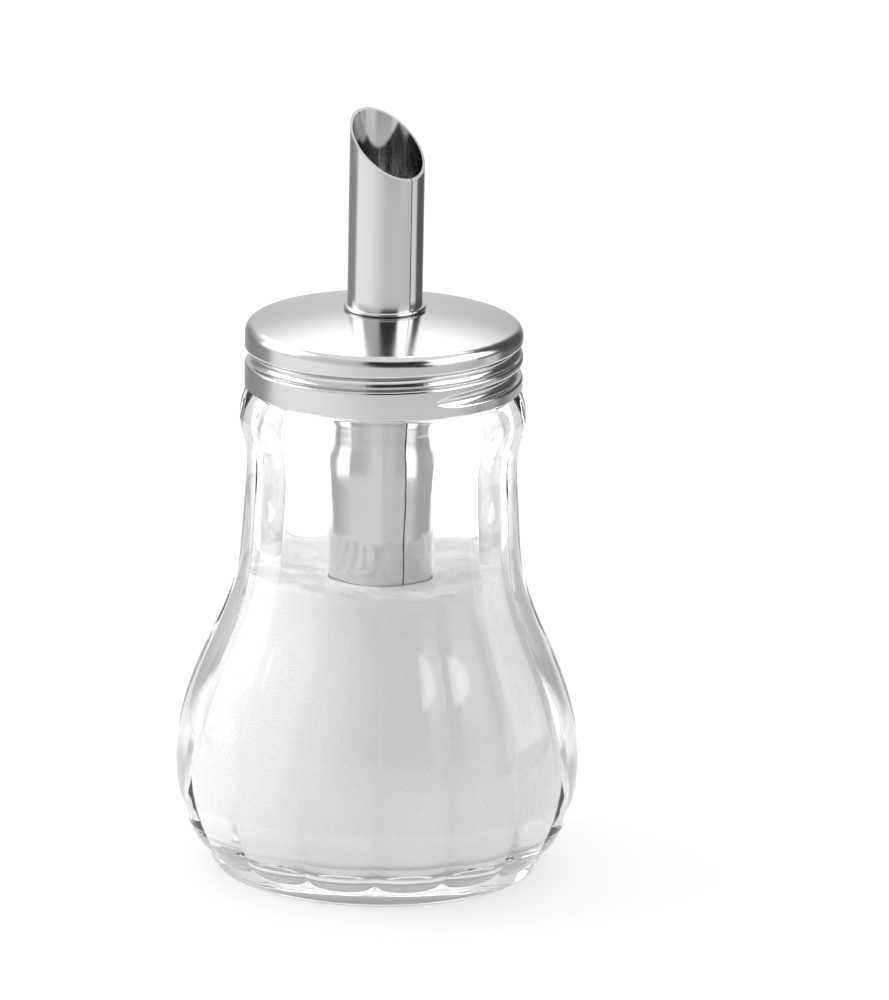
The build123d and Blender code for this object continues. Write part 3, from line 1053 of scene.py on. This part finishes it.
@dataclass
class Studio:
    """White floor and surround, soft lamps, and the camera. Sizes in metres, angles in degrees."""

    distance: float = 1.8
    azimuth: float = 48.5
    elevation: float = 15.9
    roll: float = 0.987
    lens: float = 324.2
    look_at: tuple[float, float, float] = (0.0, 0.0, 0.075)
    look_aside: float = 0.0126
    clip: Pair = (0.05, 50.0)
    floor_radius: float = 6.0
    floor_corners: int = 96
    floor_drop: float = 0.0002
    floor_grain: float = 900.0
    floor_grain_depth: float = 0.05
    floor_roughness: float = 0.9
    floor_colour: float = 0.35
    floor_glow: float = 0.62
    # Painted shade on the floor: a lower glow under the jar for camera and mirrored rays, and round the jar for rays
    # through glass
    floor_painted_shade: float = 0.36
    floor_painted_shade_reach: Pair = (0.02, 0.036)
    glass_painted_shade: float = 0.1
    glass_painted_shade_reach: Pair = (0.05, 0.11)
    surround_strength: float = 1.0
    ring: Ring = field(default_factory=Ring)
    lamps: tuple[Lamp, ...] = (
        Lamp("left_box", 97, 32, 1.1, (0.7, 0.7), 3.3),
        Lamp("right_box", -60, 30, 1.1, (0.35, 0.6), 1.1, mirrored=False),
        Lamp("back_box", 180, 48, 1.2, (1.0, 0.6), 1.6),
    )
    bounces: int = 24
    metal_bounces: int = 8
    glass_bounces: int = 8

    def camera(self) -> None:
        """Camera that looks a little past the object, slightly rolled."""
        a, r = math.radians(self.azimuth), math.radians(self.roll)
        back = towards(self.azimuth, self.elevation)
        across = Vector((math.cos(a), math.sin(a), 0))
        aim = Vector(self.look_at) + across * self.look_aside
        place = Vector(self.look_at) + back * self.distance
        back = (place - aim).normalized()
        across = (across - back * across.dot(back)).normalized()
        up = back.cross(across)
        turned = across * math.cos(r) + up * math.sin(r)
        upright = up * math.cos(r) - across * math.sin(r)
        data = bpy.data.cameras.new("camera")
        data.lens = self.lens
        data.clip_start, data.clip_end = self.clip
        made = placed("camera", data)
        made.matrix_world = Matrix.Translation(place) @ Matrix((turned, upright, back)).transposed().to_4x4()
        bpy.context.scene.camera = made

    def floor(self) -> None:
        """Round white floor, that keeps shadows and looks white to the camera, in metal and through glass. Its glow
        carries painted shade: darker under the jar's foot, and darker round the jar where it is seen through glass.
        """
        angle = np.arange(self.floor_corners) / self.floor_corners * TURN
        points = np.stack([self.floor_radius * np.cos(angle), self.floor_radius * np.sin(angle), 0 * angle], axis=1)
        mesh = bpy.data.meshes.new("floor")
        mesh.from_pydata(points.tolist(), [], [list(range(self.floor_corners))])
        made = placed("floor", mesh)
        made.location.z = -self.floor_drop
        material, nodes, shader = blank_material("pale_floor")
        grain = nodes.add("TexNoise", Scale=self.floor_grain)
        place = nodes.add("TexCoord")
        nodes.join(place.outputs["Object"], grain.inputs["Vector"])
        bump = nodes.add("Bump", Strength=self.floor_grain_depth, Distance=HAIRLINE)
        nodes.join(grain.outputs["Fac"], bump.inputs["Height"])
        nodes.join(bump.outputs[0], shader.inputs["Normal"])
        shader.inputs["Base Color"].default_value = (self.floor_colour,) * 3 + (1,)
        shader.inputs["Roughness"].default_value = self.floor_roughness
        shader.inputs["Specular IOR Level"].default_value = 0.0
        shader.inputs["Emission Color"].default_value = WHITE
        reach = nodes.add("VectorMath", operation="LENGTH")
        nodes.join(place.outputs["Object"], reach.inputs[0])
        path = nodes.add("LightPath")
        plain = nodes.maths("MAXIMUM", path.outputs["Is Camera Ray"], path.outputs["Is Glossy Ray"])
        glows = []
        # Painted shade: the floor's glow falls from floor_glow to a darker level towards the jar, near its foot for
        # camera and mirrored rays, and out to 0.11 m for rays through glass
        for seen, shade, span in (
            (plain, self.floor_painted_shade, self.floor_painted_shade_reach),
            (path.outputs["Is Transmission Ray"], self.glass_painted_shade, self.glass_painted_shade_reach),
        ):
            level = nodes.add("MapRange", interpolation_type="SMOOTHSTEP")
            nodes.join(reach.outputs["Value"], level.inputs["Value"])
            level.inputs["From Min"].default_value, level.inputs["From Max"].default_value = span
            level.inputs["To Min"].default_value, level.inputs["To Max"].default_value = shade, self.floor_glow
            glows.append(nodes.maths("MULTIPLY", seen, level.outputs["Result"]))
        nodes.join(nodes.maths("ADD", *glows), shader.inputs["Emission Strength"])
        dress(made, material)

    def surround(self) -> None:
        """World that is plain white all round: it lights the set softly and shows behind it."""
        world = bpy.data.worlds.new("surround")
        bpy.context.scene.world = world
        world.use_nodes = True
        back = world.node_tree.nodes["Background"]
        back.inputs["Color"].default_value = WHITE
        back.inputs["Strength"].default_value = self.surround_strength

    def limit_bounces(self) -> None:
        """Sets how often light may turn; few turns in metal and glass keep the grey outlines of the glass."""
        cycles = bpy.context.scene.cycles
        cycles.max_bounces = self.bounces
        cycles.glossy_bounces = self.metal_bounces
        cycles.transmission_bounces = self.glass_bounces

    def build(self) -> None:
        """Builds the camera, the floor, the surround, the ring and the lamps."""
        self.camera()
        self.floor()
        self.surround()
        self.ring.build(self.azimuth)
        for lamp in self.lamps:
            lamp.build(self.azimuth)
        self.limit_bounces()


def main() -> None:
    """Builds the pieces and the studio in order."""
    logging.basicConfig(level=logging.INFO, format="%(name)s: %(message)s")
    bpy.context.scene.view_settings.view_transform = "Standard"
    effects = Effects()
    for assembly in (Jar(), Cap()):
        for piece in assembly.build(effects):
            log.info("%s: %s, %d faces", type(assembly).__name__, piece.name, len(piece.data.polygons))
    Studio().build()


if __name__ == "__main__":
    main()
